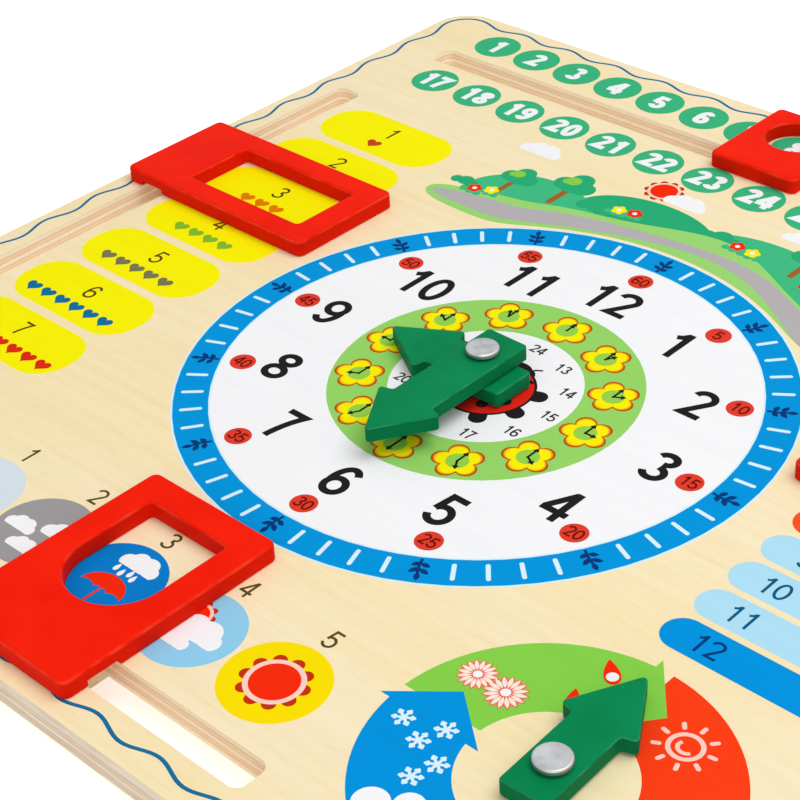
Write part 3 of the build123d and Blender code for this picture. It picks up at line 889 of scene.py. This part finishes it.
def satin_metal(name, deep, bright, rough_low, rough_high):
    """Tumbled metal: fine scratches and faint dull patches."""
    material, tree = start_material(name)
    patch = stretched_noise(tree, METAL_PATCH, 3.0)
    scratch = stretched_noise(tree, METAL_SCRATCH, 2.0)
    dull = {"Value": patch, "To Min": rough_low, "To Max": rough_high}
    rough = add_node(tree, "MapRange", inputs=dull)
    scratches = {"Height": scratch, "Strength": 0.18, "Distance": 0.03 * MM}
    bump = add_node(tree, "Bump", inputs=scratches)
    return finish_material(material, {
        "Base Color": two_tone(tree, patch, deep, bright, 0.3, 0.7), "Metallic": 1.0,
        "Roughness": rough["Result"], "Normal": bump["Normal"],
    })


INK_STREAK = (40, 3, 40)


def screen_ink():
    """Screen-printed ink under the varnish: flat colour from its own attribute, faintly uneven."""
    material, tree = start_material("screen_printed_ink")
    colour = add_node(tree, "Attribute", {"attribute_name": "ink"})["Color"]
    uneven = stretched_noise(tree, INK_STREAK, 4.0)
    shade = two_tone(tree, uneven, "#EDEDED", "#FFFFFF", 0.3, 0.7)
    colour = add_node(tree, "Mix", TINT, {SHARE: 0.2, FIRST: colour, SECOND: shade})[MIXED]
    rough = add_node(tree, "MapRange", inputs={"Value": uneven, "To Min": 0.5, "To Max": 0.62})
    bump = add_node(tree, "Bump", inputs={"Height": uneven, "Strength": 0.08, "Distance": 0.06 * MM})
    return finish_material(material, {
        "Base Color": colour, "Roughness": rough["Result"], "Normal": bump["Normal"],
        "Specular IOR Level": 0.01,
    })


# Each paint's deep and bright face colours, its paler rubbed-edge colour, and a deeper colour for
# upright sides, which is painted shade
RED_PAINT = ("#F21A04", "#FC2209", "#FF6A4A", "#E11C05")
GREEN_PAINT = ("#067E49", "#0A8A54", "#62B48E", "#067545")
finishes = {
    "birch_plywood": birch_plywood(),
    "red_painted_wood": painted_wood("red_painted_wood", *RED_PAINT),
    "green_painted_wood": painted_wood("green_painted_wood", *GREEN_PAINT),
    "plain_beech": plain_beech(),
    "aluminium": satin_metal("aluminium", "#A8AAAC", "#BEC0C2", 0.38, 0.5),
    "zinc_plated_steel": satin_metal("zinc_plated_steel", "#9AA0A6", "#B6BBC0", 0.3, 0.44),
}
for subpart in frame["record"]["subparts"]:
    solid = frame["nodes"][subpart["node"]]
    solid.data.materials.clear()
    solid.data.materials.append(finishes[subpart["material_slot"]])

ink = screen_ink()
for artwork in (print_dial(), print_dates(), print_days(), print_months(),
                print_weather(), print_seasons(), print_border(), print_country()):
    artwork.make(ink)


# Stage, light and camera, in metres
FLOOR_HALF, FLOOR_WHITE, FLOOR_GLOW = 6.0, 0.54, 0.28
WORLD_WHITE, WORLD_LIGHT = 1.0, 0.49
# Each softbox's name, place, size and power
SOFTBOXES = (("key_softbox", (0.35, 0.25, 1.1), 0.9, 7.5),
             ("fill_softbox", (0.55, -0.9, 0.55), 0.8, 2.3))
CAMERA_PLACE = Vector((0.26572, -0.30151, 0.27824))
CAMERA_AIM = Vector((-0.0109, -0.02746, 0.0098))
CAMERA_ROLL = math.radians(-3.28)
CAMERA_LENS, CAMERA_SENSOR, CAMERA_NEAR = 90.17, 36.0, 0.01


def white_for_camera(tree, strength_seen, strength_cast):
    """Strength of white light: one where it is seen or mirrored, and another where it lights things."""
    rays = add_node(tree, "LightPath")
    seen = rays["Is Camera Ray"]
    for kind in ("Is Glossy Ray", "Is Transmission Ray"):
        seen = add_node(tree, "Math", {"operation": "MAXIMUM"}, {0: seen, 1: rays[kind]})[0]
    strengths = {"Value": seen, "To Min": strength_cast, "To Max": strength_seen}
    return add_node(tree, "MapRange", inputs=strengths)["Result"]


def pale_floor():
    """Matt pale floor that glows a little, so that it is white around the object's shadow."""
    material, tree = start_material("pale_floor")
    return finish_material(material, {
        "Base Color": "#F4F4F4", "Roughness": 0.9, "Specular IOR Level": 0.0,
        "Emission Color": "#FFFFFF",
        "Emission Strength": white_for_camera(tree, FLOOR_WHITE, FLOOR_GLOW),
    })


def softbox(name, place, size, power):
    """A square area lamp turned towards the middle of the object."""
    lamp = bpy.data.lights.new(name, "AREA")
    lamp.size = size
    lamp.energy = power
    holder = bpy.data.objects.new(name, lamp)
    holder.location = place
    holder.rotation_euler = (-Vector(place)).to_track_quat("-Z", "Y").to_euler()
    bpy.context.scene.collection.objects.link(holder)


floor_mesh = bpy.data.meshes.new("floor")
corners = [(x * FLOOR_HALF, y * FLOOR_HALF, 0) for x, y in ((-1, -1), (1, -1), (1, 1), (-1, 1))]
floor_mesh.from_pydata(corners, [], [(0, 1, 2, 3)])
floor_mesh.materials.append(pale_floor())
floor = bpy.data.objects.new("floor", floor_mesh)
bpy.context.scene.collection.objects.link(floor)

world = bpy.data.worlds.new("studio")
world.use_nodes = True
world.node_tree.nodes.clear()
daylight = white_for_camera(world.node_tree, WORLD_WHITE, WORLD_LIGHT)
sky = add_node(world.node_tree, "Background", inputs={"Color": "#FFFFFF", "Strength": daylight})
add_node(world.node_tree, "OutputWorld", inputs={"Surface": sky["Background"]})
bpy.context.scene.world = world

for box in SOFTBOXES:
    softbox(*box)

camera_data = bpy.data.cameras.new("camera")
camera_data.lens = CAMERA_LENS
camera_data.sensor_width = CAMERA_SENSOR
camera_data.clip_start = CAMERA_NEAR
camera = bpy.data.objects.new("camera", camera_data)
look = (CAMERA_AIM - CAMERA_PLACE).to_track_quat("-Z", "Y").to_matrix().to_4x4()
roll = Matrix.Rotation(CAMERA_ROLL, 4, "Z")
camera.matrix_world = Matrix.Translation(CAMERA_PLACE) @ look @ roll
bpy.context.scene.collection.objects.link(camera)
bpy.context.scene.camera = camera
bpy.context.scene.view_settings.view_transform = "Standard"
